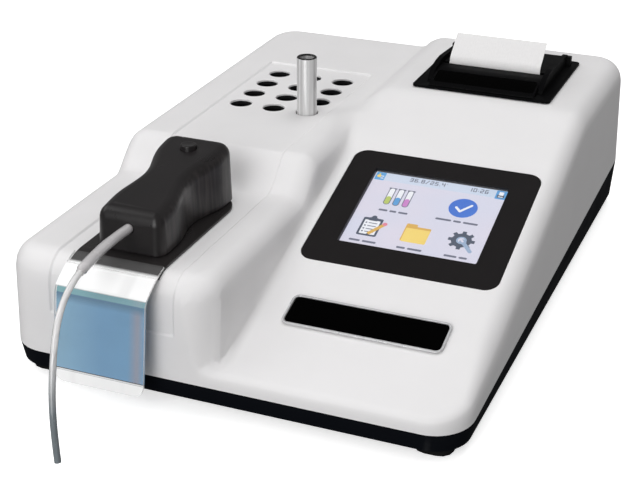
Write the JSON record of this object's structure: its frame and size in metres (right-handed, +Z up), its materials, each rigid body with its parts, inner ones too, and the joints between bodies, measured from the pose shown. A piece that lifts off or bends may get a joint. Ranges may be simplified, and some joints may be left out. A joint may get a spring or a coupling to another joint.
{
  "type": "semi-automatic chemistry analyzer",
  "caption": "Bench-top chemistry analyzer with a tube incubator, a lift-off sipper module with splash shield, a sloping touch display and a paper printer.",
  "frame": {"origin": "on the bench, under the middle of the box round the analyzer with its splash shield and without the sipper tube", "axes": "+X to the operator's right, +Y away from the operator to the back, +Z up"},
  "size_m": [0.252, 0.4405, 0.1228],
  "materials": {
    "housing_white": "satin white moulding",
    "pan_black": "satin black",
    "printer_black": "fine-grained black",
    "foot_rubber": "matte rubber",
    "module_black": "soft satin black",
    "plate_dark": "satin dark brown-black",
    "bezel_black": "smooth black",
    "screen_glow": "lit screen, pale lavender blue",
    "clear_glass": "clear glass",
    "clear_plastic": "clear bent sheet",
    "tint_blue": "translucent blue",
    "tube_grey": "smooth grey silicone",
    "bright_metal": "polished",
    "rotor_steel": "ground steel",
    "block_aluminium": "machined",
    "screw_steel": "plain steel",
    "board_green": "green solder mask",
    "heater_amber": "amber film",
    "paper_white": "plain thermal paper",
    "part_grey": "dark grey moulding"
  },
  "bodies": {
    "base": {"top_housing": "housing_white", "base_pan": "pan_black", "foot_front_left": "foot_rubber", "foot_front_right": "foot_rubber", "foot_back_left": "foot_rubber", "foot_back_right": "foot_rubber", "housing_screw_front_left": "screw_steel", "housing_screw_front_right": "screw_steel", "housing_screw_back_left": "screw_steel", "housing_screw_back_right": "screw_steel", "incubator_block": "block_aluminium", "incubator_heater": "heater_amber", "incubator_bracket": "screw_steel", "optics_plate": "block_aluminium", "cuvette_socket": "part_grey", "lamp_holder": "block_aluminium", "lamp_bulb": "clear_glass", "condenser_lens": "clear_glass", "filter_motor": "screw_steel", "detector_block": "part_grey", "pump_motor": "screw_steel", "pump_head": "part_grey", "pump_tube": "tube_grey", "display_bezel": "bezel_black", "touch_glass": "clear_glass", "lcd_panel": "screen_glow", "display_board": "board_green", "nameplate_frame": "bright_metal", "nameplate_field": "bezel_black", "main_board": "board_green", "printer_frame": "printer_black", "printer_front_cover": "printer_black", "door_hinge_pin": "screw_steel", "print_head": "bright_metal", "paper_web": "paper_white", "rear_panel": "part_grey", "power_inlet": "bezel_black", "serial_socket": "bezel_black", "power_switch_frame": "bezel_black", "fan_frame": "pan_black", "power_supply": "screw_steel"},
    "sipper_module": {"module_plate": "plate_dark", "module_cover": "module_black", "flow_cell_carrier": "module_black", "flow_cell": "clear_glass", "button_switch": "part_grey", "splash_shield": "clear_plastic", "shield_tint": "tint_blue", "sipper_sleeve": "tube_grey", "sipper_tube": "tube_grey"},
    "button": {"aspirate_button": "module_black"},
    "tube": {"test_tube": "clear_glass"},
    "wheel": {"filter_wheel": "part_grey"},
    "rotor": {"pump_rotor": "rotor_steel"},
    "door": {"printer_door": "printer_black", "paper_strip": "paper_white"},
    "platen": {"platen_roller": "foot_rubber"},
    "roll": {"paper_roll": "paper_white"},
    "rocker": {"power_switch_rocker": "pan_black"},
    "impeller": {"fan_impeller": "part_grey"}
  },
  "joints": [
    {"name": "module_lift", "type": "slide", "parent": "base", "child": "sipper_module", "axis": [0, 0, 1], "range_m": [0, 0.045]},
    {"name": "aspirate_press", "type": "slide", "parent": "sipper_module", "child": "button", "axis": [0, 0, -1], "range_m": [0, 0.002], "stiffness_N_per_m": 300},
    {"name": "test_tube_lift", "type": "slide", "parent": "base", "child": "tube", "axis": [0, 0, 1], "range_m": [0, 0.08]},
    {"name": "filter_wheel_spin", "type": "hinge", "parent": "base", "child": "wheel", "pos_m": [-0.04, -0.11003, 0.034], "axis": [1, 0, 0], "continuous": true},
    {"name": "pump_rotor_spin", "type": "hinge", "parent": "base", "child": "rotor", "pos_m": [-0.07, -0.02803, 0.009], "axis": [0, 0, 1], "continuous": true},
    {"name": "printer_door_hinge", "type": "hinge", "parent": "base", "child": "door", "pos_m": [0.056, 0.14917, 0.1016], "axis": [-1, 0, 0], "range_deg": [0, 80]},
    {"name": "paper_roll_spin", "type": "hinge", "parent": "base", "child": "roll", "pos_m": [0.056, 0.13002, 0.0725], "axis": [1, 0, 0], "continuous": true},
    {"name": "platen_spin", "type": "hinge", "parent": "door", "child": "platen", "pos_m": [0.056, 0.1149, 0.0938], "axis": [1, 0, 0], "continuous": true},
    {"name": "power_rocker", "type": "hinge", "parent": "base", "child": "rocker", "pos_m": [0.044, 0.18617, 0.055], "axis": [-1, 0, 0], "range_deg": [0, 20]},
    {"name": "fan_spin", "type": "hinge", "parent": "base", "child": "impeller", "pos_m": [-0.055, 0.18562, 0.055], "axis": [0, 1, 0], "continuous": true}
  ],
  "couplings": [
    {"joint": "platen_spin", "follows": "paper_roll_spin", "ratio": 4}
  ]
}
